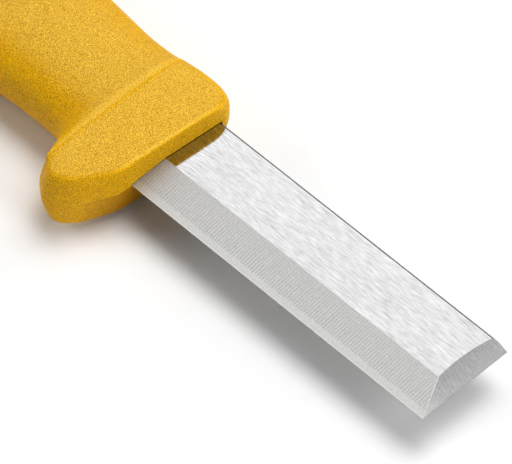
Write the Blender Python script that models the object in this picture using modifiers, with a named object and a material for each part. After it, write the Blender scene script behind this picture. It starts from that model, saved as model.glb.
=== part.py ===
"""Chisel knife: a straight steel blade, ground along one side and across its square tip,
with a one-piece plastic handle moulded round its tang.

The knife lies on its side. X runs along it towards the tip, Y runs across the blade from the
cutting edge to the spine, and Z is up, square to the blade's flats. Lengths are in metres.
Sizes are taken from the point where the cutting edge leaves the handle, at mid-thickness.
"""
import math

import bmesh
import bpy
import numpy as np
from mathutils import Matrix, Vector

# Blade
BLADE_WIDTH = 0.022
BLADE_THICKNESS = 0.003
BLADE_REACH = 0.077
SIDE_BEVEL_WIDTH = 0.0082
TIP_BEVEL_LENGTH = 0.0038
EDGE_LAND = 0.0001
TIP_LAND = 0.00014

# Tang, hidden in the handle behind the blade's full-width heel
HEEL_DEPTH = 0.009
GRIND_RUN_IN = 0.004
HEEL_CORNER_RADIUS = 0.001
SHOULDER_AT_EDGE = 0.0065
SHOULDER_AT_SPINE = 0.0045
SHOULDER_RADIUS = 0.002
TANG_TAPER = 0.0008
TANG_END_COVER = 0.033
ANCHOR_HOLE_DIAMETER = 0.006
ANCHOR_HOLE_COUNT = 3
ANCHOR_HOLE_INSET = 0.013
TANG_CLEARANCE = 0.0003
HEEL_RELIEF = 0.0001
FLAT_CLEARANCE = 0.0003

# Handle stations, from the front to the butt. A step is the way back from the station before,
# a rise is measured up from the blade's spine, and a drop down from its cutting edge. Slant and
# lean are the angles of a station's plane across the blade and over its thickness, in degrees.
# The sides are cut level at the handle's thickness where the guard and the swell would pass it.
HANDLE_THICKNESS = 0.0188
PARTING_CREASE = 0.7
FRONT_RISE = 0.0009
FRONT_DROP = 0.0036
FRONT_THICKNESS = 0.0104
FRONT_SLANT_ANGLE = 4.83
FRONT_LEAN_ANGLE = -2.9
PLATE_STEP = 0.0015
PLATE_RISE = 0.0030
PLATE_DROP = 0.0075
PLATE_THICKNESS = 0.0122
NOSE_FRONT_STEP = 0.0022
NOSE_FRONT_RISE = 0.0043
NOSE_FRONT_DROP = 0.0111
NOSE_FRONT_SLANT_ANGLE = 3.6
NOSE_FRONT_LEAN_ANGLE = 1.5
NOSE_STEP = 0.0028
NOSE_RISE = 0.0053
NOSE_DROP = 0.0135
NOSE_SLANT_ANGLE = 2.4
NOSE_LEAN_ANGLE = 3.6
NOSE_MIDDLE_STEP = 0.0030
NOSE_MIDDLE_RISE = 0.0052
NOSE_MIDDLE_DROP = 0.0141
NOSE_MIDDLE_SLANT_ANGLE = 1.2
NOSE_MIDDLE_LEAN_ANGLE = 6.2
NOSE_REAR_STEP = 0.0025
NOSE_REAR_RISE = 0.0050
NOSE_REAR_DROP = 0.0127
NOSE_REAR_LEAN_ANGLE = 8.2
RIDGE_STEP = 0.0020
RIDGE_RISE = 0.0049
RIDGE_DROP = 0.0101
RIDGE_THICKNESS = 0.0191
RIDGE_LEAN_ANGLE = 10.2
HOLLOW_STEP = 0.0036
HOLLOW_RISE = 0.0048
HOLLOW_DROP = 0.0030
HOLLOW_THICKNESS = 0.0172
HOLLOW_LEAN_ANGLE = 5.1
WAIST_STEP = 0.0059
WAIST_RISE = 0.0048
WAIST_DROP = 0.0011
WAIST_THICKNESS = 0.0174
FORE_SWELL_STEP = 0.0125
FORE_SWELL_RISE = 0.0060
FORE_SWELL_DROP = 0.0013
FORE_SWELL_THICKNESS = 0.0183
SWELL_STEP = 0.0200
SWELL_RISE = 0.0072
SWELL_DROP = 0.0040
SWELL_THICKNESS = 0.0191
REAR_SWELL_STEP = 0.0200
REAR_SWELL_RISE = 0.0064
REAR_SWELL_DROP = 0.0034
REAR_SWELL_THICKNESS = 0.0182
REAR_WAIST_STEP = 0.0165
REAR_WAIST_RISE = 0.0046
REAR_WAIST_DROP = 0.0026
REAR_WAIST_THICKNESS = 0.0172
BUTT_STEP = 0.0150
BUTT_RISE = 0.0034
BUTT_DROP = 0.0056
BUTT_THICKNESS = 0.0174
BUTT_RIM_STEP = 0.0070
BUTT_RIM_RISE = 0.0014
BUTT_RIM_DROP = 0.0050
BUTT_RIM_THICKNESS = 0.0136
BUTT_END_STEP = 0.0035
BUTT_CROWN = 0.0025

# Half sections from the spine side round to the edge side, as shares of half height and half
# thickness: the grip's oval, the guard's sloping plate, and the guard's squarer front
OVAL_FULLNESS = 0.85
OVAL_TURNS = (0, 24, 46, 68, 90, 111, 129, 146, 163, 180)
OVAL_HALF = tuple(
    (math.cos(math.radians(turn)), math.sin(math.radians(turn)) ** OVAL_FULLNESS)
    for turn in OVAL_TURNS
)
PLATE_HALF = (
    (1.0, 0.0),
    (0.95, 0.44),
    (0.82, 0.77),
    (0.56, 0.95),
    (0.12, 1.0),
    (-0.35, 0.965),
    (-0.72, 0.90),
    (-0.905, 0.80),
    (-0.965, 0.55),
    (-1.0, 0.0),
)
FRONT_HALF = (
    (1.0, 0.0),
    (0.995, 0.42),
    (0.96, 0.80),
    (0.76, 0.97),
    (0.25, 1.0),
    (-0.35, 0.99),
    (-0.76, 0.97),
    (-0.91, 0.89),
    (-0.965, 0.62),
    (-1.0, 0.0),
)
OVAL, PLATE, FRONT = 0.0, 1.0, 2.0

# How the nose's sections pass from the front's to the plate's
NOSE_FRONT_SHAPE = 1.83
NOSE_SHAPE = 1.67
NOSE_MIDDLE_SHAPE = 1.43
NOSE_REAR_SHAPE = 1.23

# Fineness of the round stretches, how near points are joined, and how far cutters outsize their cuts
WELD = 0.000001
ARC_STEPS = 8
HOLE_SIDES = 24
HANDLE_SUBDIVISIONS = 2
CUTTER_SHARE = 4

STEEL_COLOUR = (0.78, 0.78, 0.77, 1.0)
PLASTIC_COLOUR = (0.70, 0.40, 0.03, 1.0)


def clear_scene():
    for stale in list(bpy.data.objects):
        bpy.data.objects.remove(stale, do_unlink=True)


def collection(name):
    made = bpy.data.collections.new(name)
    bpy.context.scene.collection.children.link(made)
    return made


def material(name, colour, roughness, metallic):
    made = bpy.data.materials.new(name)
    made.use_nodes = True
    shader = made.node_tree.nodes["Principled BSDF"]
    shader.inputs["Base Color"].default_value = colour
    shader.inputs["Roughness"].default_value = roughness
    shader.inputs["Metallic"].default_value = metallic
    return made


def add_object(name, mesh, home, frame):
    made = bpy.data.objects.new(name, mesh)
    home.objects.link(made)
    made.parent = frame
    return made


def as_cutter(piece):
    piece.hide_render = True
    piece.display_type = "WIRE"


def cut(piece, cutter, operation="DIFFERENCE"):
    boolean = piece.modifiers.new(cutter.name, "BOOLEAN")
    boolean.operation = operation
    boolean.solver = "EXACT"
    boolean.object = cutter


def handle_stations():
    """Sections from front to butt: step, rise, drop, thickness, slant, lean and section shape."""
    plate_run = NOSE_FRONT_STEP + NOSE_STEP + NOSE_MIDDLE_STEP + NOSE_REAR_STEP + RIDGE_STEP
    plate_slope = (RIDGE_THICKNESS - PLATE_THICKNESS) / plate_run
    nose_front = PLATE_THICKNESS + plate_slope * NOSE_FRONT_STEP
    nose = nose_front + plate_slope * NOSE_STEP
    middle = nose + plate_slope * NOSE_MIDDLE_STEP
    rear = middle + plate_slope * NOSE_REAR_STEP
    return (
        (0.0, FRONT_RISE, FRONT_DROP, FRONT_THICKNESS, FRONT_SLANT_ANGLE, FRONT_LEAN_ANGLE, FRONT),
        (PLATE_STEP, PLATE_RISE, PLATE_DROP, PLATE_THICKNESS, FRONT_SLANT_ANGLE, 0.0, FRONT),
        (NOSE_FRONT_STEP, NOSE_FRONT_RISE, NOSE_FRONT_DROP, nose_front,
         NOSE_FRONT_SLANT_ANGLE, NOSE_FRONT_LEAN_ANGLE, NOSE_FRONT_SHAPE),
        (NOSE_STEP, NOSE_RISE, NOSE_DROP, nose, NOSE_SLANT_ANGLE, NOSE_LEAN_ANGLE, NOSE_SHAPE),
        (NOSE_MIDDLE_STEP, NOSE_MIDDLE_RISE, NOSE_MIDDLE_DROP, middle,
         NOSE_MIDDLE_SLANT_ANGLE, NOSE_MIDDLE_LEAN_ANGLE, NOSE_MIDDLE_SHAPE),
        (NOSE_REAR_STEP, NOSE_REAR_RISE, NOSE_REAR_DROP, rear, 0.0, NOSE_REAR_LEAN_ANGLE, NOSE_REAR_SHAPE),
        (RIDGE_STEP, RIDGE_RISE, RIDGE_DROP, RIDGE_THICKNESS, 0.0, RIDGE_LEAN_ANGLE, PLATE),
        (HOLLOW_STEP, HOLLOW_RISE, HOLLOW_DROP, HOLLOW_THICKNESS, 0.0, HOLLOW_LEAN_ANGLE, OVAL),
        (WAIST_STEP, WAIST_RISE, WAIST_DROP, WAIST_THICKNESS, 0.0, 0.0, OVAL),
        (FORE_SWELL_STEP, FORE_SWELL_RISE, FORE_SWELL_DROP, FORE_SWELL_THICKNESS, 0.0, 0.0, OVAL),
        (SWELL_STEP, SWELL_RISE, SWELL_DROP, SWELL_THICKNESS, 0.0, 0.0, OVAL),
        (REAR_SWELL_STEP, REAR_SWELL_RISE, REAR_SWELL_DROP, REAR_SWELL_THICKNESS, 0.0, 0.0, OVAL),
        (REAR_WAIST_STEP, REAR_WAIST_RISE, REAR_WAIST_DROP, REAR_WAIST_THICKNESS, 0.0, 0.0, OVAL),
        (BUTT_STEP, BUTT_RISE, BUTT_DROP, BUTT_THICKNESS, 0.0, 0.0, OVAL),
        (BUTT_RIM_STEP, BUTT_RIM_RISE, BUTT_RIM_DROP, BUTT_RIM_THICKNESS, 0.0, 0.0, OVAL),
    )


def handle_length():
    return sum(station[0] for station in handle_stations()) + BUTT_END_STEP


def tang_length():
    """From the heel to the tang's end."""
    return handle_length() - TANG_END_COVER - HEEL_DEPTH


def tang_centre():
    return (SHOULDER_AT_EDGE + BLADE_WIDTH - SHOULDER_AT_SPINE) / 2


def tang_root_width():
    return BLADE_WIDTH - SHOULDER_AT_EDGE - SHOULDER_AT_SPINE


def arc(centre, radius, start, end):
    """Points on an arc, from start to end in degrees."""
    turns = np.radians(np.linspace(start, end, ARC_STEPS + 1))
    return [(centre[0] + radius * math.cos(t), centre[1] + radius * math.sin(t)) for t in turns]


def blade_outline(grow):
    """Outline of blade and tang in plan, grown outwards all round."""
    tip = BLADE_REACH + grow
    heel = -HEEL_DEPTH - grow
    spine = BLADE_WIDTH + grow
    middle = tang_centre()
    root = tang_root_width() / 2 + grow
    end = root - TANG_TAPER
    end_centre = -HEEL_DEPTH - tang_length() + end - grow
    corner = HEEL_CORNER_RADIUS + grow
    fillet = SHOULDER_RADIUS - grow
    points = [(tip, -grow), (tip, spine)]
    points += arc((heel + corner, spine - corner), corner, 90, 180)
    points += arc((heel - fillet, middle + root + fillet), fillet, 0, -90)
    points += arc((end_centre, middle), end, 90, 270)
    points += arc((heel - fillet, middle - root - fillet), fillet, 90, 0)
    points += arc((heel + corner, corner - grow), corner, 180, 270)
    return points


def plate_mesh(name, outline, thickness):
    """A flat plate of the given closed outline, centred on mid-thickness."""
    curve = bpy.data.curves.new(name, "CURVE")
    curve.dimensions = "2D"
    curve.fill_mode = "BOTH"
    curve.extrude = thickness / 2
    spline = curve.splines.new("POLY")
    spline.points.add(len(outline) - 1)
    for point, (x, y) in zip(spline.points, outline):
        point.co = (x, y, 0.0, 1.0)
    spline.use_cyclic_u = True
    drawn = bpy.data.objects.new(name, curve)
    bpy.context.scene.collection.objects.link(drawn)
    depsgraph = bpy.context.evaluated_depsgraph_get()
    mesh = bpy.data.meshes.new_from_object(drawn.evaluated_get(depsgraph))
    bpy.data.objects.remove(drawn, do_unlink=True)
    bpy.data.curves.remove(curve)
    weld = bmesh.new()
    weld.from_mesh(mesh)
    bmesh.ops.remove_doubles(weld, verts=weld.verts, dist=WELD)
    bmesh.ops.recalc_face_normals(weld, faces=weld.faces)
    weld.to_mesh(mesh)
    weld.free()
    mesh.name = name
    return mesh


def drill(piece, grow, cutters, frame):
    """Drill the tang's anchor holes, drawn in by the same growth."""
    radius = ANCHOR_HOLE_DIAMETER / 2 - grow
    first = -HEEL_DEPTH - ANCHOR_HOLE_INSET
    last = -HEEL_DEPTH - tang_length() + ANCHOR_HOLE_INSET
    for number, along in enumerate(np.linspace(first, last, ANCHOR_HOLE_COUNT), start=1):
        bit = bmesh.new()
        bmesh.ops.create_cone(bit, cap_ends=True, segments=HOLE_SIDES, radius1=radius, radius2=radius,
                              depth=CUTTER_SHARE * BLADE_THICKNESS,
                              matrix=Matrix.Translation((along, tang_centre(), 0.0)))
        add_cutter(piece, f"anchor_hole_{number}", bit, cutters, frame)


def grind(piece, grow, cutters, frame):
    """Grind the long edge and the tip, alike on both faces, to an edge at mid-thickness."""
    depth = CUTTER_SHARE * BLADE_THICKNESS
    length = CUTTER_SHARE * (BLADE_REACH + GRIND_RUN_IN)
    side_angle = math.atan2((BLADE_THICKNESS - EDGE_LAND) / 2, SIDE_BEVEL_WIDTH)
    tip_angle = math.atan2((BLADE_THICKNESS - TIP_LAND) / 2, TIP_BEVEL_LENGTH)
    side_touch = (length / 2 - GRIND_RUN_IN + grow, 0.0, EDGE_LAND / 2)
    tip_touch = (BLADE_REACH, BLADE_WIDTH / 2, TIP_LAND / 2)
    side_size = (length, CUTTER_SHARE * SIDE_BEVEL_WIDTH, depth)
    tip_size = (CUTTER_SHARE * TIP_BEVEL_LENGTH, CUTTER_SHARE * BLADE_WIDTH, depth)
    cuts = (
        ("side", side_touch, side_angle, "X", side_size),
        ("tip", tip_touch, tip_angle, "Y", tip_size),
    )
    for name, touch, angle, axis, size in cuts:
        for face, side in (("upper", 1), ("lower", -1)):
            place = Matrix.Translation((touch[0], touch[1], side * touch[2]))
            tilt = Matrix.Rotation(side * angle, 4, axis)
            lift = Matrix.Translation((0.0, 0.0, side * (depth / 2 + grow)))
            wheel = bmesh.new()
            bmesh.ops.create_cube(wheel, size=1.0,
                                  matrix=place @ tilt @ lift @ Matrix.Diagonal((*size, 1.0)))
            add_cutter(piece, f"{face}_{name}_grind", wheel, cutters, frame)


def relieve_heel(piece, grow, cutters, frame):
    """Leave the heel and tang thinner than the blade, up to just ahead of the handle's front."""
    size = (CUTTER_SHARE * handle_length(), CUTTER_SHARE * BLADE_WIDTH, CUTTER_SHARE * BLADE_THICKNESS)
    along = FLAT_CLEARANCE - grow - size[0] / 2
    level = BLADE_THICKNESS / 2 - HEEL_RELIEF + grow + size[2] / 2
    turn = Matrix.Rotation(-math.radians(FRONT_SLANT_ANGLE), 4, "Z")
    for face, side in (("upper", 1), ("lower", -1)):
        place = Matrix.Translation((along, 0.0, side * level))
        block = bmesh.new()
        bmesh.ops.create_cube(block, size=1.0, matrix=turn @ place @ Matrix.Diagonal((*size, 1.0)))
        add_cutter(piece, f"{face}_heel_relief", block, cutters, frame)


def add_cutter(piece, name, shape, cutters, frame, operation="DIFFERENCE"):
    """Cut the piece with a shape, and keep the shape as a hidden guide."""
    mesh = bpy.data.meshes.new(f"{piece.name}_{name}")
    shape.to_mesh(mesh)
    shape.free()
    cutter = add_object(mesh.name, mesh, cutters, frame)
    as_cutter(cutter)
    cut(piece, cutter, operation)


def blade_solid(name, grow, home, cutters, frame):
    mesh = plate_mesh(name, blade_outline(grow), BLADE_THICKNESS + 2 * grow)
    made = add_object(name, mesh, home, frame)
    drill(made, grow, cutters, frame)
    grind(made, grow, cutters, frame)
    relieve_heel(made, grow, cutters, frame)
    return made


def section_shape(shape):
    """A half section between the grip's oval, the guard's plate and its front."""
    low = np.array(OVAL_HALF if shape < PLATE else PLATE_HALF)
    high = np.array(PLATE_HALF if shape < PLATE else FRONT_HALF)
    share = shape if shape < PLATE else shape - PLATE
    return low + (high - low) * share


def slope(angle):
    return math.tan(math.radians(angle))


def half_sections():
    """Points the handle's surface passes through, on and above mid-thickness, section by section."""
    back = 0.0
    sections = []
    for step, rise, drop, thickness, slant, lean, shape in handle_stations():
        back += step
        across, up = section_shape(shape).T
        y = (BLADE_WIDTH + rise - drop) / 2 + across * (BLADE_WIDTH + rise + drop) / 2
        z = up * thickness / 2
        x = -back + slope(slant) * y + slope(lean) * z
        sections.append(np.stack([x, y, z], axis=1))
    return np.array(sections)


def cage_through(points, closed):
    """Control points whose smooth curve passes through the given points, along the first axis."""
    count = len(points)
    weights = np.eye(count) * 4
    for row in range(count):
        weights[row, (row + 1) % count] += 1
        weights[row, row - 1] += 1
    if not closed:
        weights[0] = np.eye(count)[0] * 6
        weights[-1] = np.eye(count)[-1] * 6
    flat = points.reshape(count, -1)
    return np.linalg.solve(weights / 6, flat).reshape(points.shape)


def handle_cage():
    """Rings of control points from the front to the butt, for the half above mid-thickness."""
    halves = half_sections()
    below = halves[:, -2:0:-1] * (1.0, 1.0, -1.0)
    rings = cage_through(np.concatenate([halves, below], axis=1), closed=False)
    rings = np.swapaxes(cage_through(np.swapaxes(rings, 0, 1), closed=True), 0, 1)
    upper = rings[:, :halves.shape[1]]
    upper[:, (0, -1), 2] = 0.0
    return upper


def cap(cage, ring, line):
    """Close one end of the half handle down to a line at mid-thickness, and return the line's edges."""
    inner = ring[2:-2]
    verts = [cage.verts.new(point) for point in line]
    cage.faces.new((ring[0], verts[0], ring[2], ring[1]))
    for step in range(len(inner) - 1):
        cage.faces.new((verts[step], verts[step + 1], inner[step + 1], inner[step]))
    cage.faces.new((verts[-1], ring[-1], ring[-2], ring[-3]))
    ends = (ring[0], *verts, ring[-1])
    return [cage.edges.get(pair) for pair in zip(ends, ends[1:])]


def front_line(ring):
    """The parting line across the slanted front."""
    return [(slope(FRONT_SLANT_ANGLE) * vert.co.y, vert.co.y, 0.0) for vert in ring[2:-2]]


def butt_line(ring):
    """The parting line across the crowned butt."""
    middle = (ring[0].co.y + ring[-1].co.y) / 2
    reach = abs(ring[0].co.y - ring[-1].co.y) / 2
    return [(BUTT_CROWN * ((vert.co.y - middle) / reach) ** 2 - handle_length(), vert.co.y, 0.0)
            for vert in ring[2:-2]]


def handle_mesh():
    cage = bmesh.new()
    rings = [[cage.verts.new(point) for point in ring] for ring in handle_cage()]
    for ahead, behind in zip(rings, rings[1:]):
        for step in range(len(ahead) - 1):
            cage.faces.new((ahead[step], ahead[step + 1], behind[step + 1], behind[step]))
    sharpness = cage.edges.layers.float.new("crease_edge")
    for edge in cap(cage, rings[0], front_line(rings[0])):
        edge[sharpness] = PARTING_CREASE
    cap(cage, rings[-1], butt_line(rings[-1]))
    bmesh.ops.recalc_face_normals(cage, faces=cage.faces)
    mesh = bpy.data.meshes.new("handle")
    cage.to_mesh(mesh)
    cage.free()
    mesh.shade_smooth()
    return mesh


def level_sides(piece, cutters, frame):
    """Keep the handle within its thickness, which gives it something level to lie on."""
    slab = bmesh.new()
    size = (CUTTER_SHARE * handle_length(), CUTTER_SHARE * BLADE_WIDTH, HANDLE_THICKNESS)
    bmesh.ops.create_cube(slab, size=1.0, matrix=Matrix.Diagonal((*size, 1.0)))
    add_cutter(piece, "level_sides", slab, cutters, frame, operation="INTERSECT")


def handle_solid(home, pocket, cutters, frame):
    made = add_object("handle", handle_mesh(), home, frame)
    mirror = made.modifiers.new("both halves", "MIRROR")
    mirror.use_axis = (False, False, True)
    mirror.merge_threshold = WELD
    smooth = made.modifiers.new("moulded surface", "SUBSURF")
    smooth.levels = HANDLE_SUBDIVISIONS
    smooth.render_levels = HANDLE_SUBDIVISIONS
    level_sides(made, cutters, frame)
    cut(made, pocket)
    return made


def rest_on_ground(frame, pieces):
    """Put the middle of the knife's lowest level at the world's origin."""
    bpy.context.view_layer.update()
    depsgraph = bpy.context.evaluated_depsgraph_get()
    corners = []
    for piece in pieces:
        solid = piece.evaluated_get(depsgraph)
        corners += [solid.matrix_world @ vert.co for vert in solid.data.vertices]
    low = Vector(min(corner[axis] for corner in corners) for axis in range(3))
    high = Vector(max(corner[axis] for corner in corners) for axis in range(3))
    frame.location -= Vector(((low.x + high.x) / 2, (low.y + high.y) / 2, low.z))
    bpy.context.view_layer.update()


def main():
    clear_scene()
    home = collection("chisel_knife")
    cutters = collection("cutters")
    frame = bpy.data.objects.new("knife_frame", None)
    home.objects.link(frame)
    blade = blade_solid("blade", 0.0, home, cutters, frame)
    blade.data.materials.append(material("blade_steel", STEEL_COLOUR, 0.3, 1.0))
    pocket = blade_solid("tang_pocket", TANG_CLEARANCE, cutters, cutters, frame)
    as_cutter(pocket)
    handle = handle_solid(home, pocket, cutters, frame)
    handle.data.materials.append(material("handle_plastic", PLASTIC_COLOUR, 0.6, 0.0))
    rest_on_ground(frame, (blade, handle))


main()
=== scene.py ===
"""Chisel knife: brushed and ground steel blade in a fine-grained yellow moulded handle.

Pieces are modelled in the knife's own frame and then moved, in their meshes, to where the solid
model has them. X runs towards the tip, Y from the cutting edge to the spine and Z up from
mid-thickness, from the point where the cutting edge leaves the handle. Lengths are in metres,
and the finishes count in millimetres.
"""
import math
from collections import namedtuple

import bmesh
import bpy
import numpy as np
from mathutils import Matrix, Vector


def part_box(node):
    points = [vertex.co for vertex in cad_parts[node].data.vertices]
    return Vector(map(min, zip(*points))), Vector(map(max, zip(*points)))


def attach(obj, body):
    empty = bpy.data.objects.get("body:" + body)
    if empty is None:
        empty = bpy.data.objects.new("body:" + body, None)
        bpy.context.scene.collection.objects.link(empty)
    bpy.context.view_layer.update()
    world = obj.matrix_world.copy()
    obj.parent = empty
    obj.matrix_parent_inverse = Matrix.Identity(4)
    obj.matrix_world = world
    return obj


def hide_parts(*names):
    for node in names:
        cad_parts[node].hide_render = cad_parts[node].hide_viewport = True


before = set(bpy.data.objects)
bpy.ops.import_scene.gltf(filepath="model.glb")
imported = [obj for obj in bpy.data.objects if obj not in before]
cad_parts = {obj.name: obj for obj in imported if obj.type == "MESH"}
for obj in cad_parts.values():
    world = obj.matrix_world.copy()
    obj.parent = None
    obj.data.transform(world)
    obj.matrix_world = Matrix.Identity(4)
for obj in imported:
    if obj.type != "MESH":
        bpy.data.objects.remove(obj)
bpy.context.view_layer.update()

# Blade
BLADE_REACH = 0.077
BLADE_WIDTH = 0.022
BLADE_THICKNESS = 0.003
FLAT_START = 0.0082
HONED_WIDTH = 0.0016
HONED_HEIGHT = 0.00035
EDGE_HEIGHT = 0.00003
TIP_LENGTH = 0.0040
TIP_SLEW = 0.0007
TIP_BOW = 0.00062
TIP_HEIGHT = 0.00007
BOW_STRIPS = 8
SPINE_ROUND = 0.00055
SPINE_ROUND_STEPS = 4
CORNER_BREAK = 0.0001
CORNER_BREAK_STEPS = 2
HEEL_DEPTH = 0.009
TANG_LOW = 0.0065
TANG_HIGH = 0.0175
TANG_END = -0.085
TANG_END_ROUND = 0.0054
TANG_END_STEPS = 8
ANCHOR_HOLE_RADIUS = 0.003
ANCHOR_HOLES = (-0.022, -0.047, -0.072)
ANCHOR_HOLE_SIDES = 32
DRILL_DEPTH = 0.012
SLOT_CLEARANCE = 0.00018

# Handle sections from front to butt: way back, rise over the spine, drop below the edge, thickness,
# slant across the blade and lean over its thickness in degrees, and the section's shape
Section = namedtuple("Section", "back rise drop thickness slant lean shape")
HANDLE_SECTIONS = tuple(Section(*row) for row in (
    (0.0002, 0.0013, 0.0038, 0.0121, 3.90, 0.0, 2.00),
    (0.0017, 0.0032, 0.0075, 0.0129, 3.90, 0.0, 2.00),
    (0.0037, 0.0045, 0.0111, 0.0139, 3.20, 1.5, 1.83),
    (0.0065, 0.0050, 0.0135, 0.0152, 2.40, 3.6, 1.67),
    (0.0095, 0.0052, 0.0141, 0.0166, 1.20, 6.2, 1.43),
    (0.0120, 0.0050, 0.0127, 0.0177, 0.0, 8.2, 1.23),
    (0.0140, 0.0048, 0.0101, 0.01825, 0.0, 10.2, 1.00),
    (0.0176, 0.0048, 0.0030, 0.0172, 0.0, 5.1, 0.0),
    (0.0235, 0.0048, 0.0011, 0.0174, 0.0, 0.0, 0.0),
    (0.0360, 0.0060, 0.0013, 0.0183, 0.0, 0.0, 0.0),
    (0.0560, 0.0072, 0.0040, 0.0188, 0.0, 0.0, 0.0),
    (0.0760, 0.0064, 0.0034, 0.0182, 0.0, 0.0, 0.0),
    (0.0925, 0.0046, 0.0026, 0.0172, 0.0, 0.0, 0.0),
    (0.1075, 0.0034, 0.0056, 0.0174, 0.0, 0.0, 0.0),
    (0.1145, 0.0014, 0.0050, 0.0136, 0.0, 0.0, 0.0),
))
FRONT = HANDLE_SECTIONS[0]
FRONT_SLOPE = math.tan(math.radians(FRONT.slant))
RIDGE_RING = 6
RIDGE = HANDLE_SECTIONS[RIDGE_RING]
RIDGE_LEAN = math.tan(math.radians(RIDGE.lean))
HANDLE_LENGTH = 0.118
BUTT_CROWN = 0.0025
PARTING_CREASE = 0.7
FRONT_CREASE = 0.75
FRONT_CORNER_CREASE = 0.45
RIDGE_CREASE = 0.42
NOSE_COLUMN = 7
NOSE_CREASE = 0.22
UNDERCUT = 0.27
UNDERCUT_REACH = 0.008
UNDERCUT_DROP = 0.0017
HANDLE_SUBDIVISIONS = 3
SMOOTH_ANGLE = math.radians(32)
STEEL_SMOOTH_ANGLE = math.radians(8)

# Half sections from the spine side round to the edge side, as shares of half height and half
# thickness: the grip's oval, the guard's sloping plate and the guard's squarer front
OVAL_TURNS = np.radians((0, 24, 46, 68, 90, 111, 129, 146, 163, 180))
OVAL_FULLNESS = 0.85
OVAL_HALF = np.stack([np.cos(OVAL_TURNS), np.abs(np.sin(OVAL_TURNS)) ** OVAL_FULLNESS], axis=1)
PLATE_HALF = np.array((
    (1.0, 0.0), (0.95, 0.44), (0.82, 0.77), (0.56, 0.95), (0.12, 1.0),
    (-0.35, 0.965), (-0.72, 0.90), (-0.905, 0.80), (-0.965, 0.55), (-1.0, 0.0),
))
FRONT_HALF = np.array((
    (1.0, 0.0), (0.995, 0.42), (0.96, 0.80), (0.76, 0.97), (0.25, 1.0),
    (-0.35, 0.99), (-0.76, 0.97), (-0.91, 0.89), (-0.965, 0.62), (-1.0, 0.0),
))

# Stretches of a section's points, counted from the spine side
WITHIN_ENDS = slice(2, -2)
FRONT_EDGE = slice(2, 7)
NOSE_CORNER = slice(6, 8)
SPINE_CORNER = slice(0, 3)
RIDGE_LINE = slice(1, -1)

# How far a face's normal leans, for picking faces by where they look
BACK_LOOK = 0.9
UP_LOOK = 0.5
TIP_LOOK = 0.3
SIDE_LOOK = 0.1
RIDGE_LOOK = 0.02

# View of the photograph: where the camera stands, and the picture's pixel that shows its aim
PICTURE = (512, 464)
VIEW_AZIMUTH = math.radians(45.6)
VIEW_ELEVATION = math.radians(51.24)
VIEW_DISTANCE = 1.0669
VIEW_AIM = Vector((0.038, 0.011, 0.0))
VIEW_AIM_PIXEL = (315.7, 266.6)
VIEW_FOCUS = 5736.7
SENSOR = 36.0
NEAREST = 0.05
FARTHEST = 50.0

TINY = 1e-7
WELD = 1e-6

blade_low, blade_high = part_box("blade")
ORIGIN = Vector((blade_high.x - BLADE_REACH, blade_low.y, (blade_low.z + blade_high.z) / 2))


def open_piece(name):
    """Name the primitive that was just added, and open it for editing."""
    piece = bpy.context.object
    piece.name = name
    piece.data.name = name
    bpy.ops.object.mode_set(mode="EDIT")
    return piece


def close_piece():
    """Leave edit mode."""
    bpy.ops.object.mode_set(mode="OBJECT")


def take_up(piece):
    """Select one piece alone, for the operators that act on objects."""
    bpy.ops.object.select_all(action="DESELECT")
    piece.select_set(True)
    bpy.context.view_layer.objects.active = piece


def pick(piece, kind, test):
    """Select only the vertices, edges or faces that pass the test."""
    bpy.ops.mesh.select_mode(type=kind)
    bpy.ops.mesh.select_all(action="DESELECT")
    shape = bmesh.from_edit_mesh(piece.data)
    members = {"VERT": shape.verts, "EDGE": shape.edges, "FACE": shape.faces}[kind]
    for member in members:
        if test(member):
            member.select_set(True)
    shape.select_flush_mode()
    bmesh.update_edit_mesh(piece.data)


def pick_all(piece):
    """Select the whole mesh."""
    pick(piece, "VERT", lambda vert: True)


def slice_piece(piece, point, normal, clear=False):
    """Cut the whole piece along a plane. What lies on the normal's side is cleared and closed off."""
    pick_all(piece)
    bpy.ops.mesh.bisect(plane_co=point, plane_no=normal, use_fill=clear, clear_outer=clear,
                        threshold=TINY)


def extrude(move):
    """Draw the selection out by a move."""
    bpy.ops.mesh.extrude_region_move(TRANSFORM_OT_translate={"value": tuple(move)})


def apply_modifier(piece, kind, name, **settings):
    """Add a modifier with its settings, and apply it."""
    modifier = piece.modifiers.new(name, kind)
    for key, value in settings.items():
        setattr(modifier, key, value)
    bpy.ops.object.modifier_apply(modifier=name)


def cut_away(piece, cutter):
    """Cut one piece's shape out of another, and drop the cutter."""
    take_up(piece)
    apply_modifier(piece, "BOOLEAN", cutter.name, operation="DIFFERENCE", solver="EXACT", object=cutter)
    bpy.data.objects.remove(cutter, do_unlink=True)


def move_home(piece):
    """Move the finished mesh from the knife's own frame to its place in the solid model."""
    take_up(piece)
    bpy.ops.object.mode_set(mode="EDIT")
    pick_all(piece)
    bpy.ops.mesh.normals_make_consistent(inside=False)
    bpy.ops.transform.translate(value=ORIGIN)
    close_piece()


def stand_for(piece, node):
    """Let a finished piece show in place of a node of the solid model."""
    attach(piece, "root")
    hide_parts(node)


def block(name, low, high):
    """A box between two corners, open for editing."""
    bpy.ops.mesh.primitive_cube_add(size=1.0)
    piece = open_piece(name)
    low, high = Vector(low), Vector(high)
    bpy.ops.transform.resize(value=high - low)
    bpy.ops.transform.translate(value=(low + high) / 2)
    return piece


def grind_side(piece, side, grow):
    """Grind one face's long bevel, and the steeper honed band along its edge."""
    outline = ((FLAT_START, BLADE_THICKNESS / 2), (HONED_WIDTH, HONED_HEIGHT), (0.0, EDGE_HEIGHT))
    for (y_high, z_high), (y_low, z_low) in zip(outline, outline[1:]):
        out = Vector((0.0, z_low - z_high, y_high - y_low)).normalized()
        point = Vector((0.0, y_high, z_high)) + out * grow
        slice_piece(piece, (0.0, point.y, side * point.z), (0.0, out.y, side * out.z), clear=True)


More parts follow.
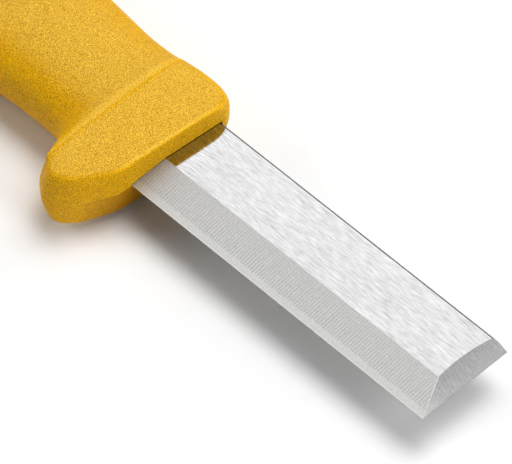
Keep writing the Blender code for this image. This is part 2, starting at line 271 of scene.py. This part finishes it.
def grind_tip(piece, side):
    """Grind one face's bevel across the square tip."""
    rise = BLADE_THICKNESS / 2 - TIP_HEIGHT
    slice_piece(piece, (BLADE_REACH, 0.0, side * TIP_HEIGHT), (rise, 0.0, side * TIP_LENGTH), clear=True)


def draw_tang(piece, grow):
    """Draw the tang out of the heel's back, and round its end."""
    back = -HEEL_DEPTH - grow
    for y, side in ((TANG_LOW - grow, -1), (TANG_HIGH + grow, 1)):
        slice_piece(piece, (0.0, y, 0.0), (0.0, side, 0.0))

    def in_tang(face):
        middle = face.calc_center_median()
        return face.normal.x < -BACK_LOOK and TANG_LOW - grow < middle.y < TANG_HIGH + grow

    pick(piece, "FACE", in_tang)
    extrude((TANG_END - grow - back, 0.0, 0.0))

    def at_corner(edge):
        ends = [vert.co for vert in edge.verts]
        upright = abs(ends[0].z - ends[1].z) > BLADE_THICKNESS / 4 and abs(ends[0].y - ends[1].y) < WELD
        reach = (abs(ends[0].y - TANG_LOW + grow) < WELD or abs(ends[0].y - TANG_HIGH - grow) < WELD)
        return upright and reach and all(abs(end.x - TANG_END + grow) < WELD for end in ends)

    pick(piece, "EDGE", at_corner)
    bpy.ops.mesh.bevel(offset=TANG_END_ROUND, segments=TANG_END_STEPS, affect="EDGES")


def drill_tang(piece, grow):
    """Drill the anchor holes, through which the handle's plastic runs."""
    for number, along in enumerate(ANCHOR_HOLES, start=1):
        bpy.ops.mesh.primitive_cylinder_add(vertices=ANCHOR_HOLE_SIDES, radius=ANCHOR_HOLE_RADIUS - grow,
                                            depth=DRILL_DEPTH,
                                            location=(along, (TANG_LOW + TANG_HIGH) / 2, 0.0))
        drill = bpy.context.object
        drill.name = f"anchor_drill_{number}"
        cut_away(piece, drill)


def steel_blank(name, grow):
    """Blade and tang with their long bevels, grown outwards all round, open for editing."""
    half = BLADE_THICKNESS / 2 + grow
    piece = block(name, (-HEEL_DEPTH - grow, -grow, -half), (BLADE_REACH + grow, BLADE_WIDTH + grow, half))
    for side in (1, -1):
        grind_side(piece, side, grow)
    draw_tang(piece, grow)
    return piece


def bow_tip(piece):
    """Bow the line between the flat and the tip's bevel towards the handle, and slew it."""
    line = BLADE_REACH - TIP_LENGTH
    moves = []
    for vert in bmesh.from_edit_mesh(piece.data).verts:
        if abs(vert.co.x - line) < WELD and abs(vert.co.z) > BLADE_THICKNESS / 2 - WELD:
            share = (vert.co.y - FLAT_START) / (BLADE_WIDTH - FLAT_START)
            hump = 4 * share * (1 - share)
            bow = TIP_SLEW * share - TIP_BOW * hump
            moves.append((vert.co.copy(), vert.co + Vector((bow, 0.0, 0.0))))
    shift_points(piece, moves)


def round_spine(piece):
    """Break the two long edges of the spine."""
    def on_spine(edge):
        ends = [vert.co for vert in edge.verts]
        return (all(end.y > BLADE_WIDTH - WELD for end in ends)
                and all(abs(end.z) > BLADE_THICKNESS / 2 - WELD for end in ends)
                and ends[0].z * ends[1].z > 0)

    pick(piece, "EDGE", on_spine)
    bpy.ops.mesh.bevel(offset=SPINE_ROUND, segments=SPINE_ROUND_STEPS, affect="EDGES")


def break_corners(piece):
    """Break the sharp ridge between the side's and the tip's bevels."""
    def on_ridge(edge):
        looks = [face.normal for face in edge.link_faces]
        return (any(look.x > TIP_LOOK and abs(look.z) > UP_LOOK for look in looks)
                and any(look.y < -SIDE_LOOK and abs(look.z) > UP_LOOK for look in looks))

    pick(piece, "EDGE", on_ridge)
    bpy.ops.mesh.bevel(offset=CORNER_BREAK, segments=CORNER_BREAK_STEPS, affect="EDGES")


def finish_areas(piece, finishes):
    """Give each face of the blade its own finish, by where it lies and where it looks."""
    def ground(face):
        return face.calc_center_median().y < FLAT_START and face.normal.y < -SIDE_LOOK

    def tip(face):
        return face.normal.x > TIP_LOOK

    def ridge(face):
        return RIDGE_LOOK < face.normal.x < TIP_LOOK

    def spine(face):
        return face.normal.y > SIDE_LOOK

    areas = {"ground_bevel": ground, "ground_tip": tip, "worn_ridge": ridge, "spine_steel": spine}
    for finish in finishes:
        piece.data.materials.append(finish)
    for index, finish in enumerate(finishes):
        if finish.name in areas:
            pick(piece, "FACE", areas[finish.name])
            piece.active_material_index = index
            bpy.ops.object.material_slot_assign()


def make_blade(finishes):
    """The blade with its tang, ground from both faces along the side and across the tip."""
    piece = steel_blank("knife_blade", 0.0)
    for strip in range(1, BOW_STRIPS):
        y = FLAT_START + (BLADE_WIDTH - FLAT_START) * strip / BOW_STRIPS
        slice_piece(piece, (0.0, y, 0.0), (0.0, 1.0, 0.0))
    for side in (1, -1):
        grind_tip(piece, side)
    bow_tip(piece)
    break_corners(piece)
    round_spine(piece)
    finish_areas(piece, finishes)
    close_piece()
    drill_tang(piece, 0.0)
    move_home(piece)
    bpy.ops.object.shade_smooth_by_angle(angle=STEEL_SMOOTH_ANGLE)
    stand_for(piece, "blade")


def section_shape(shape):
    """A half section between the grip's oval, the guard's plate and its front."""
    steps = (OVAL_HALF, PLATE_HALF, FRONT_HALF, FRONT_HALF)
    whole = int(shape)
    return steps[whole] + (steps[whole + 1] - steps[whole]) * (shape - whole)


def section_points():
    """Points that the handle's surface passes through, on and above mid-thickness."""
    halves = []
    for section in HANDLE_SECTIONS:
        across, up = section_shape(section.shape).T
        middle = (BLADE_WIDTH + section.rise - section.drop) / 2
        reach = (BLADE_WIDTH + section.rise + section.drop) / 2
        y = middle + across * reach
        z = up * section.thickness / 2
        slope = math.tan(math.radians(section.slant))
        lean = math.tan(math.radians(section.lean))
        halves.append(np.stack([slope * y + lean * z - section.back, y, z], axis=1))
    return np.array(halves)


# What a control point and each of its two neighbours give to the smooth curve beside it
OWN_SHARE = 4 / 6
NEXT_SHARE = 1 / 6


def cage_through(points, closed):
    """Control points whose smooth curve passes through the given points, along the first axis."""
    count = len(points)
    shares = np.eye(count) * OWN_SHARE
    for row in range(count):
        shares[row, (row + 1) % count] += NEXT_SHARE
        shares[row, row - 1] += NEXT_SHARE
    if not closed:
        for end in (0, -1):
            shares[end] = np.eye(count)[end]
    flat = points.reshape(count, -1)
    return np.linalg.solve(shares, flat).reshape(points.shape)


def handle_rings():
    """Rings of control points from the front to the butt, for the half above mid-thickness."""
    halves = section_points()
    below = halves[:, -2:0:-1] * (1.0, 1.0, -1.0)
    rings = cage_through(np.concatenate([halves, below], axis=1), closed=False)
    rings = np.swapaxes(cage_through(np.swapaxes(rings, 0, 1), closed=True), 0, 1)
    upper = rings[:, :halves.shape[1]]
    upper[:, (0, -1), 2] = 0.0
    return [[Vector(point) for point in ring] for ring in upper]


def shift_points(piece, moves):
    """Move single vertices from where they are to where they go."""
    for start, goal in moves:
        pick(piece, "VERT", lambda vert: (vert.co - start).length < WELD)
        bpy.ops.transform.translate(value=goal - start)


def pick_chain(piece, points):
    """Select the edges that join neighbouring points."""
    pairs = list(zip(points, points[1:]))

    def joins(edge):
        ends = [vert.co for vert in edge.verts]
        return any((ends[0] - a).length < WELD and (ends[1] - b).length < WELD
                   or (ends[0] - b).length < WELD and (ends[1] - a).length < WELD for a, b in pairs)

    pick(piece, "EDGE", joins)


def close_end(piece, ring, line):
    """Close one end of the half handle down to a line at mid-thickness."""
    inner = ring[WITHIN_ENDS]
    away = line[0] - inner[0]
    pick_chain(piece, inner)
    extrude(away)
    shift_points(piece, [(point + away, goal) for point, goal in zip(inner, line)])
    for corner in ((ring[0], line[0], ring[2], ring[1]), (line[-1], ring[-1], ring[-2], ring[-3])):
        pick(piece, "VERT", lambda vert: any((vert.co - point).length < WELD for point in corner))
        bpy.ops.mesh.edge_face_add()


def front_line(ring):
    """The parting line across the slanted front."""
    return [Vector((FRONT_SLOPE * point.y - FRONT.back, point.y, 0.0)) for point in ring[WITHIN_ENDS]]


def butt_line(ring):
    """The parting line across the crowned butt."""
    middle = (ring[0].y + ring[-1].y) / 2
    reach = abs(ring[0].y - ring[-1].y) / 2
    return [Vector((BUTT_CROWN * ((point.y - middle) / reach) ** 2 - HANDLE_LENGTH, point.y, 0.0))
            for point in ring[WITHIN_ENDS]]


def half_handle():
    """The upper half of the handle's cage: a half ring drawn back from section to section."""
    rings = handle_rings()
    count = 2 * (len(rings[0]) - 1)
    bpy.ops.mesh.primitive_circle_add(vertices=count, radius=BLADE_WIDTH)
    piece = open_piece("knife_handle")
    pick(piece, "VERT", lambda vert: vert.co.x < -WELD)
    bpy.ops.mesh.delete(type="VERT")
    shape = bmesh.from_edit_mesh(piece.data)
    start = sorted((vert.co.copy() for vert in shape.verts), key=lambda point: -point.y)
    shift_points(piece, list(zip(start, rings[0])))
    for ahead, behind in zip(rings, rings[1:]):
        pick_chain(piece, ahead)
        step = behind[0] - ahead[0]
        extrude(step)
        shift_points(piece, [(point + step, goal) for point, goal in zip(ahead, behind)])
    front = front_line(rings[0])
    close_end(piece, rings[0], front)
    close_end(piece, rings[-1], butt_line(rings[-1]))
    creases = (([rings[0][0], *front, rings[0][-1]], PARTING_CREASE),
               (rings[0][FRONT_EDGE], FRONT_CREASE),
               (rings[0][NOSE_CORNER], FRONT_CORNER_CREASE),
               (rings[1][SPINE_CORNER], FRONT_CORNER_CREASE),
               (rings[RIDGE_RING][RIDGE_LINE], RIDGE_CREASE),
               ([ring[NOSE_COLUMN] for ring in rings[1:RIDGE_RING + 1]], NOSE_CREASE))
    for chain, sharpness in creases:
        pick_chain(piece, chain)
        bpy.ops.transform.edge_crease(value=sharpness)
    pick_all(piece)
    bpy.ops.mesh.normals_make_consistent(inside=False)
    close_piece()
    return piece


def undercut_front(piece):
    """Lean the front back below its parting line, where it looks towards the floor."""
    moves = []
    for vert in piece.data.vertices:
        place = vert.co.copy()
        share = 1 - (FRONT_SLOPE * place.y - place.x) / UNDERCUT_REACH
        if place.z < -WELD and share > 0:
            drop = UNDERCUT_DROP * max(0.0, 1 - max(place.y, 0.0) / BLADE_WIDTH)
            full = place.z / (FRONT.thickness / 2)
            moves.append((place, place + share * Vector((UNDERCUT * place.z, 0.0, drop * full))))
    bpy.ops.object.mode_set(mode="EDIT")
    shift_points(piece, moves)
    close_piece()


def make_handle(plastic):
    """The moulded handle, with the pocket that it leaves round the tang."""
    piece = half_handle()
    apply_modifier(piece, "MIRROR", "both_halves", use_axis=(False, False, True), merge_threshold=WELD)
    undercut_front(piece)
    apply_modifier(piece, "SUBSURF", "moulded_surface", levels=HANDLE_SUBDIVISIONS,
                   render_levels=HANDLE_SUBDIVISIONS)
    pocket = steel_blank("tang_pocket", SLOT_CLEARANCE)
    close_piece()
    drill_tang(pocket, SLOT_CLEARANCE)
    cut_away(piece, pocket)
    piece.data.materials.append(plastic)
    move_home(piece)
    bpy.ops.object.shade_smooth_by_angle(angle=SMOOTH_ANGLE)
    stand_for(piece, "handle")


class Field:
    """A value or colour that varies over a surface, held as a socket of a material's nodes."""

    def __init__(self, tree, socket):
        self.tree = tree
        self.socket = socket

    def node(self, kind, settings=None, inputs=None, output=0):
        """Add a node of any kind, give it its settings and then its inputs, and return one output."""
        made = self.tree.nodes.new(kind)
        for name, setting in (settings or {}).items():
            setattr(made, name, setting)
        for name, value in (inputs or {}).items():
            if isinstance(value, Field):
                self.tree.links.new(value.socket, made.inputs[name])
            else:
                made.inputs[name].default_value = value
        return Field(self.tree, made.outputs[output])

    def maths(self, operation, first, second=0.0):
        """Add a Math node."""
        return self.node("ShaderNodeMath", {"operation": operation}, {0: first, 1: second})

    def __add__(self, other):
        return self.maths("ADD", self, other)

    def __sub__(self, other):
        return self.maths("SUBTRACT", self, other)

    def __rsub__(self, other):
        return self.maths("SUBTRACT", other, self)

    def __mul__(self, other):
        return self.maths("MULTIPLY", self, other)

    __radd__ = __add__
    __rmul__ = __mul__

    def wave(self, pitch):
        """A sine of the given pitch, between -1 and 1."""
        return self.maths("SINE", self * (2 * math.pi / pitch))

    def size(self):
        """The value without its sign."""
        return self.maths("ABSOLUTE", self)

    def ramp(self, low, high):
        """0 up to low, 1 from high on, and smooth between them."""
        return self.node("ShaderNodeMapRange", {"interpolation_type": "SMOOTHSTEP"},
                         {"Value": self, "From Min": low, "From Max": high})

    def blend(self, first, second):
        """From one colour to another as this value goes from 0 to 1."""
        return self.node("ShaderNodeMix", {"data_type": "RGBA"}, {0: self, 6: first, 7: second}, output=2)

    def turned(self, size, angle=0.0):
        """Coordinates in units of the given size along, across and up, turned in the blade's plane."""
        turn = self.node("ShaderNodeMapping", {"vector_type": "POINT"},
                         {"Vector": self, "Rotation": (0.0, 0.0, math.radians(angle))})
        return turn.node("ShaderNodeVectorMath", {"operation": "DIVIDE"}, {0: turn, 1: size})

    def noise(self, detail=2.0):
        """Smooth noise of about unit grain on these coordinates, between -1 and 1."""
        made = self.node("ShaderNodeTexNoise", {}, {"Vector": self, "Scale": 1.0, "Detail": detail})
        return made * 2.0 - 1.0

    def layers(self, rows):
        """Plain noise in layers, each with its grain's size, its turn in degrees and its weight."""
        first, *others = [self.turned(size, angle).noise(detail=0.0) * weight for size, angle, weight in rows]
        return sum(others, first)

    def axis(self, name):
        """One coordinate, by its letter."""
        parts = self.node("ShaderNodeSeparateXYZ", {}, {0: self})
        return Field(self.tree, parts.socket.node.outputs[name])

    def normal(self):
        """Where the surface looks, in the piece's own frame."""
        return self.node("ShaderNodeTexCoord", output="Normal")

    def relief(self, distance, strength):
        """A surface normal from this value as a height."""
        return self.node("ShaderNodeBump", {}, {"Height": self, "Distance": distance, "Strength": strength})


MILLIMETRES = 1000.0


def new_finish(name):
    """A material with its shader, and the knife's own coordinates in millimetres."""
    made = bpy.data.materials.new(name)
    made.use_nodes = True
    tree = made.node_tree
    shader = tree.nodes["Principled BSDF"]
    coordinates = tree.nodes.new("ShaderNodeTexCoord")
    place = Field(tree, coordinates.outputs["Object"])
    place = place.node("ShaderNodeMapping", {"vector_type": "POINT"},
                       {"Vector": place, "Scale": (MILLIMETRES,) * 3, "Location": -MILLIMETRES * ORIGIN})
    return made, shader, place


def feed(shader, **fields):
    """Join fields to the shader's sockets, and set plain values on them."""
    names = {"colour": "Base Color", "roughness": "Roughness", "metallic": "Metallic", "normal": "Normal",
             "specular": "Specular IOR Level"}
    for key, value in fields.items():
        socket = shader.inputs[names[key]]
        if isinstance(value, Field):
            value.tree.links.new(value.socket, socket)
        else:
            socket.default_value = value


def marked(base, weights, **marks):
    """A base value with each mark added by its weight."""
    return sum((marks[name] * weight for name, weight in weights.items()), base)


BLACK = (0.0, 0.0, 0.0, 1.0)

# Brushed flat. A fade is the stretch, in millimetres, over which a mark comes or goes, and a relief
# is a bump's height in metres and its strength.
FLAT_TINT = (1.0, 0.992, 1.0, 1.0)
FLAT_STROKES = (
    ((2.4, 0.12, 1.0), 2.0, 0.45),
    ((1.5, 0.13, 1.0), -3.0, 0.35),
    ((0.3, 0.17, 0.2), 0.0, 0.14),
)
FLAT_CLOUD = (14.0, 5.0, 5.0)
FLAT_SHADE = 0.465
FLAT_MARKS = {"strokes": 0.30, "cloud": 0.04, "lip": 0.05, "stain": -0.09}
# Painted highlight: the flat is lightened along the spine side, where its rounded edge begins.
LIP_FADE = (20.9, 21.6)
# Painted shade: the flat is darkened next to the handle, for the handle's dark reflection and its shade.
STAIN_FADE = (1.6, 2.8)
POLISH_FADE = (3.8, 6.0)
FLAT_ROUGHNESS = 0.285
FLAT_POLISH = 0.215
FLAT_RELIEF = (0.00002, 0.3)


def brushed_flat():
    """Steel brushed along the blade, in short fine strokes that wander a little."""
    made, shader, place = new_finish("brushed_flat")
    x, y = place.axis("X"), place.axis("Y")
    away = x - y * FRONT_SLOPE
    strokes = place.layers(FLAT_STROKES)
    shade = marked(FLAT_SHADE, FLAT_MARKS, strokes=strokes, cloud=place.turned(FLAT_CLOUD).noise(),
                   lip=y.ramp(*LIP_FADE), stain=1.0 - away.ramp(*STAIN_FADE))
    polish = 1.0 - away.ramp(*POLISH_FADE)
    feed(shader, colour=shade.blend(BLACK, FLAT_TINT), metallic=1.0,
         roughness=FLAT_ROUGHNESS - polish * FLAT_POLISH, normal=strokes.relief(*FLAT_RELIEF))
    return made


# Ground bevel
BEVEL_TINT = (1.0, 0.992, 0.972, 1.0)
GRIND_PITCH = 0.645
GRIND_DRIFT = 0.12
DRIFT_SIZE = (30.0, 9.0, 30.0)
UNEVEN_SIZE = (0.8, 9.0, 9.0)
UNEVEN_SHARE = 0.9
GRIND_FADE = (1.4, 8.2)
GRIND_FADE_SHARE = 0.6
RAGGED_SIZE = (0.5, 3.0, 3.0)
RAGGED_DEPTH = 0.35
HONED_FADE = (1.35, 1.75)
HONED_SHARE = 0.6
# Painted highlight: the bevel is lightened along the very cutting edge.
BRIGHT_FADE = (0.12, 0.36)
SCRATCH_SIZE = (0.12, 4.0, 4.0)
SCRATCH_TURN = 1.5
SPECK_SIZE = (0.1, 0.1, 0.1)
BEVEL_SHADE = 0.408
BEVEL_MARKS = {"honed": 0.055, "bright": 0.06, "lines": 0.052, "scratch": 0.06, "speck": 0.19}
BEVEL_ROUGHNESS = 0.6
SCRATCH_ROUGHNESS = 0.05
BEVEL_RELIEF = (0.00001, 0.2)


def ground_bevel():
    """Steel ground across the bevel in even lines, and honed smooth along the cutting edge."""
    made, shader, place = new_finish("ground_bevel")
    x, y = place.axis("X"), place.axis("Y")
    ragged = place.turned(RAGGED_SIZE).noise(detail=1.0) * RAGGED_DEPTH
    honed = 1.0 - (y + ragged).ramp(*HONED_FADE)
    drift = place.turned(DRIFT_SIZE).noise() * GRIND_DRIFT
    fade = (1.0 - y.ramp(*GRIND_FADE) * GRIND_FADE_SHARE) * (1.0 - honed)
    lines = (x + drift).wave(GRIND_PITCH) * fade
    uneven = 1.0 + place.turned(UNEVEN_SIZE).noise() * UNEVEN_SHARE
    scratch = place.turned(SCRATCH_SIZE, SCRATCH_TURN).noise(detail=1.0)
    shade = marked(BEVEL_SHADE, BEVEL_MARKS, honed=honed, bright=1.0 - y.ramp(*BRIGHT_FADE),
                   lines=lines * uneven, scratch=scratch * (1.0 - honed * HONED_SHARE),
                   speck=place.turned(SPECK_SIZE).noise(detail=0.0))
    feed(shader, colour=shade.blend(BLACK, BEVEL_TINT), metallic=1.0,
         roughness=BEVEL_ROUGHNESS + scratch * SCRATCH_ROUGHNESS, normal=lines.relief(*BEVEL_RELIEF))
    return made


# Ground tip
TIP_TINT = (1.0, 0.99, 0.995, 1.0)
TIP_LINE_SIZE = (2.0, 0.07, 2.0)
TIP_LINE_TURN = 5.0
TIP_EDGE_FADE = (72.6, 77.0)
# Painted highlight: the corner mark lightens the tip's bevel towards its ridge with the side bevel.
TIP_CORNER_FADE = (0.5, 8.0)
# The tip's base tone is set darker than the side bevel's: painted shade, besides its own grind.
TIP_SHADE = 0.235
TIP_MARKS = {"edge": 0.035, "corner": 0.07, "lines": 0.16, "speck": 0.13}
TIP_ROUGHNESS = 0.32
TIP_LINE_ROUGHNESS = 0.05
TIP_RELIEF = (0.00002, 0.2)


def ground_tip():
    """Steel ground along the blade across the tip's bevel, brighter towards the edge."""
    made, shader, place = new_finish("ground_tip")
    lines = place.turned(TIP_LINE_SIZE, TIP_LINE_TURN).noise(detail=1.0)
    shade = marked(TIP_SHADE, TIP_MARKS, edge=place.axis("X").ramp(*TIP_EDGE_FADE),
                   corner=1.0 - place.axis("Y").ramp(*TIP_CORNER_FADE), lines=lines,
                   speck=place.turned(SPECK_SIZE).noise(detail=0.0))
    feed(shader, colour=shade.blend(BLACK, TIP_TINT), metallic=1.0,
         roughness=TIP_ROUGHNESS + lines * TIP_LINE_ROUGHNESS, normal=lines.relief(*TIP_RELIEF))
    return made


# Worn ridge, with a painted highlight, and blanked spine, with painted shade
RUB_SIZE = (0.6, 0.6, 0.6)
# Painted highlight: the ridge's steel is coloured lighter than the bevels beside it, for the glint on its
# worn edge.
RUB_SHADE = 0.40
RUB_MARK = 0.05
RUB_ROUGHNESS = 0.25
RUB_ROUGHNESS_MARK = 0.05
DRAG_SIZE = (0.5, 1.0, 1.3)
# Painted shade, in part: the spine is coloured darker for the dark line along its rounded edge, besides its
# duller blanked finish.
DRAG_SHADE = 0.12
DRAG_MARK = 0.05
DRAG_ROUGHNESS = 0.42
DRAG_ROUGHNESS_MARK = 0.08


def worn_ridge():
    """Steel where two bevels meet, worn smooth and coloured lighter: a painted highlight for the ridge's
    glint.
    """
    made, shader, place = new_finish("worn_ridge")
    rub = place.turned(RUB_SIZE).noise()
    shade = RUB_SHADE + rub * RUB_MARK
    feed(shader, colour=shade.blend(BLACK, BEVEL_TINT), metallic=1.0,
         roughness=RUB_ROUGHNESS + rub * RUB_ROUGHNESS_MARK)
    return made


def spine_steel():
    """Steel of the blanked spine and its broken edges, darker than the ground faces: its duller blanked
    finish, and painted shade for the dark line along the spine's edge.
    """
    made, shader, place = new_finish("spine_steel")
    drag = place.turned(DRAG_SIZE).noise(detail=3.0)
    shade = DRAG_SHADE + drag * DRAG_MARK
    feed(shader, colour=shade.blend(BLACK, FLAT_TINT), metallic=1.0,
         roughness=DRAG_ROUGHNESS + drag * DRAG_ROUGHNESS_MARK)
    return made


# Grained plastic. Where its sides turn away from the level they take a deeper colour, a shaded copy of the
# plastic's colours: painted shade
PLASTIC_DARK = (0.44, 0.205, 0.0, 1.0)
PLASTIC_LIGHT = (1.0, 0.615, 0.065, 1.0)
DEEP_DARK = (0.44, 0.19, 0.0, 1.0)
DEEP_LIGHT = (0.98, 0.54, 0.003, 1.0)
LEVEL_FADE = (0.82, 1.0)
GRAIN_SIZE = (0.19, 0.19, 0.19)
COARSE_SIZE = (0.6, 0.6, 0.6)
COARSE_SHARE = 0.08
PLASTIC_CLOUD = (16.0, 16.0, 16.0)
SEAM_FADE = (0.03, 0.14)
SEAM_DEPTH = 0.5
WORN_FADE = (0.1, 1.3)
WORN_HEIGHT = (5.0, 8.0)
BRINK_BACK = 0.6
RUBBED_FADE = (0.1, 0.6)
RUBBED_HEIGHT = (5.2, 5.9)
UNDER_FADE = (0.0, 0.5)
UNDER_REACH = (2.0, 5.0)
GRIME_FADE = (-13.0, -1.0)
PLASTIC_TONE = 0.51
PLASTIC_MARKS = {"pits": 1.0, "cloud": 0.04, "seam": 0.06, "worn": 0.22, "rubbed": 0.2, "grime": -0.6}
PLASTIC_ROUGHNESS = 0.55
PIT_ROUGHNESS = 0.1
PLASTIC_GLOSS = 0.12
PLASTIC_RELIEF = (0.0001, 0.8)


def grained_plastic():
    """Yellow plastic with a fine moulded grain, and the mould's parting line round it."""
    made, shader, place = new_finish("grained_plastic")
    x, y, z = place.axis("X"), place.axis("Y"), place.axis("Z")
    grain = place.turned(GRAIN_SIZE).noise(detail=0.0)
    coarse = place.turned(COARSE_SIZE).noise()
    pits = grain * (1.0 - COARSE_SHARE) + coarse * COARSE_SHARE
    height = z.size()
    seam = 1.0 - height.ramp(*SEAM_FADE)
    ridge = (x + MILLIMETRES * RIDGE.back - height * RIDGE_LEAN).size()
    # Painted highlight: the plastic is lightened along the crest of the guard's ridge.
    worn = (1.0 - ridge.ramp(*WORN_FADE)) * height.ramp(*WORN_HEIGHT)
    brink = (x - y * FRONT_SLOPE + BRINK_BACK).size()
    # Painted highlight: the plastic is lightened along the front's top edge.
    rubbed = (1.0 - brink.ramp(*RUBBED_FADE)) * height.ramp(*RUBBED_HEIGHT)
    # Painted shade: the front below the parting line is darkened, most near the blade and fading towards the
    # nose.
    under = (0.0 - z).ramp(*UNDER_FADE) * (1.0 - brink.ramp(*UNDER_REACH))
    tone = marked(PLASTIC_TONE, PLASTIC_MARKS, pits=pits, seam=seam, worn=worn, rubbed=rubbed,
                  cloud=place.turned(PLASTIC_CLOUD).noise(detail=1.0), grime=under * y.ramp(*GRIME_FADE))
    # Painted shade: faces that turn away from the level take the deeper, shaded copy of the colours.
    level = place.normal().axis("Z").size().ramp(*LEVEL_FADE)
    colour = level.blend(tone.blend(DEEP_DARK, DEEP_LIGHT), tone.blend(PLASTIC_DARK, PLASTIC_LIGHT))
    feed(shader, colour=colour, roughness=PLASTIC_ROUGHNESS - pits * PIT_ROUGHNESS, specular=PLASTIC_GLOSS,
         normal=(pits + seam * SEAM_DEPTH).relief(*PLASTIC_RELIEF))
    return made


def white_for_view(tree):
    """1 for what the camera, a mirror or a glass sees directly, 0 for light on a matt surface."""
    path = tree.nodes.new("ShaderNodeLightPath")
    seen = [Field(tree, path.outputs[name])
            for name in ("Is Camera Ray", "Is Glossy Ray", "Is Transmission Ray")]
    total = seen[0] + seen[1] + seen[2]
    return total.maths("MINIMUM", total, 1.0)


FLOOR_COLOUR = (0.95, 0.95, 0.95, 1.0)
FLOOR_SIZE = 6.0
FLOOR_NEAR = 0.18
FLOOR_FAR = 0.5
FLOOR_DROP = 0.0001
WHITE = (1.0, 1.0, 1.0, 1.0)


def make_floor():
    """A pale floor that keeps the shadows near the knife, and far off is as white as the backdrop."""
    bpy.ops.mesh.primitive_plane_add(size=FLOOR_SIZE, location=(0.0, 0.0, -FLOOR_DROP))
    floor = bpy.context.object
    floor.name = "floor"
    made = bpy.data.materials.new("pale_floor")
    made.use_nodes = True
    tree = made.node_tree
    shader = tree.nodes["Principled BSDF"]
    shader.inputs["Base Color"].default_value = FLOOR_COLOUR
    shader.inputs["Roughness"].default_value = 1.0
    shader.inputs["Specular IOR Level"].default_value = 0.0
    seen = white_for_view(tree)
    place = seen.node("ShaderNodeTexCoord", output="Object")
    distance = place.node("ShaderNodeVectorMath", {"operation": "LENGTH"}, {0: place}, output="Value")
    white = seen.node("ShaderNodeEmission", {}, {"Color": WHITE, "Strength": 1.0})
    far = seen * distance.ramp(FLOOR_NEAR, FLOOR_FAR)
    surface = far.node("ShaderNodeMixShader", {}, {0: far, 1: Field(tree, shader.outputs[0]), 2: white})
    tree.links.new(surface.socket, tree.nodes["Material Output"].inputs["Surface"])
    floor.data.materials.append(made)


def make_sky():
    """A backdrop that is white to look at and in reflections, and gives no other light."""
    world = bpy.data.worlds.new("studio")
    bpy.context.scene.world = world
    world.use_nodes = True
    background = world.node_tree.nodes["Background"]
    background.inputs["Color"].default_value = WHITE
    strength = white_for_view(world.node_tree)
    world.node_tree.links.new(strength.socket, background.inputs["Strength"])


# Lamps: direction from the knife, distance, size, power in watts, and whether the lamp is a card, which
# shows only in reflections. The others show in none.
LAMPS = {
    "key_lamp": ((0.21, 0.26, 0.94), 1.0, 0.58, 3.9, False),
    "over_lamp": ((-0.1, 0.3, 0.95), 1.0, 0.58, 4.0, False),
    "butt_lamp": ((-0.74, -0.48, 0.46), 1.3, 0.8, 6.2, False),
    "spine_lamp": ((0.1, 0.85, 0.5), 1.3, 0.8, 3.4, False),
    "front_lamp": ((0.9, 0.15, 0.4), 1.3, 0.8, 8.7, False),
    "card_lamp": ((-0.25, 0.33, 0.91), 1.3, 2.4, 14.5, True),
}


def soft_lamp(name, towards, distance, size, power, card):
    """A square soft light that looks at the knife from the given direction."""
    lamp = bpy.data.lights.new(name, "AREA")
    lamp.shape = "SQUARE"
    lamp.size = size
    lamp.energy = power
    holder = bpy.data.objects.new(name, lamp)
    bpy.context.scene.collection.objects.link(holder)
    away = Vector(towards).normalized()
    holder.location = ORIGIN + away * distance
    holder.rotation_euler = away.to_track_quat("Z", "Y").to_euler()
    holder.visible_glossy = card
    holder.visible_diffuse = not card


def make_camera():
    """The photograph's camera, turned so that its aim shows at the aim's pixel."""
    back = Vector((math.sin(VIEW_AZIMUTH) * math.cos(VIEW_ELEVATION),
                   -math.cos(VIEW_AZIMUTH) * math.cos(VIEW_ELEVATION), math.sin(VIEW_ELEVATION)))
    right = Vector((math.cos(VIEW_AZIMUTH), math.sin(VIEW_AZIMUTH), 0.0))
    up = back.cross(right)
    across = (PICTURE[0] / 2 - VIEW_AIM_PIXEL[0]) / VIEW_FOCUS
    down = (PICTURE[1] / 2 - VIEW_AIM_PIXEL[1]) / VIEW_FOCUS
    axis = (back - right * across + up * down).normalized()
    right = (right - axis * right.dot(axis)).normalized()
    up = axis.cross(right)
    camera = bpy.data.cameras.new("view")
    camera.sensor_fit = "HORIZONTAL"
    camera.sensor_width = SENSOR
    camera.lens = SENSOR * VIEW_FOCUS / PICTURE[0]
    camera.clip_start = NEAREST
    camera.clip_end = FARTHEST
    holder = bpy.data.objects.new("view", camera)
    bpy.context.scene.collection.objects.link(holder)
    turn = Matrix((right, up, axis)).transposed().to_4x4()
    holder.matrix_world = Matrix.Translation(ORIGIN + VIEW_AIM + back * VIEW_DISTANCE) @ turn
    bpy.context.scene.camera = holder


bpy.ops.object.select_all(action="DESELECT")
make_blade([brushed_flat(), ground_bevel(), ground_tip(), worn_ridge(), spine_steel()])
make_handle(grained_plastic())
make_floor()
make_sky()
for lamp_name, lamp_row in LAMPS.items():
    soft_lamp(lamp_name, *lamp_row)
make_camera()
bpy.context.scene.view_settings.view_transform = "Standard"
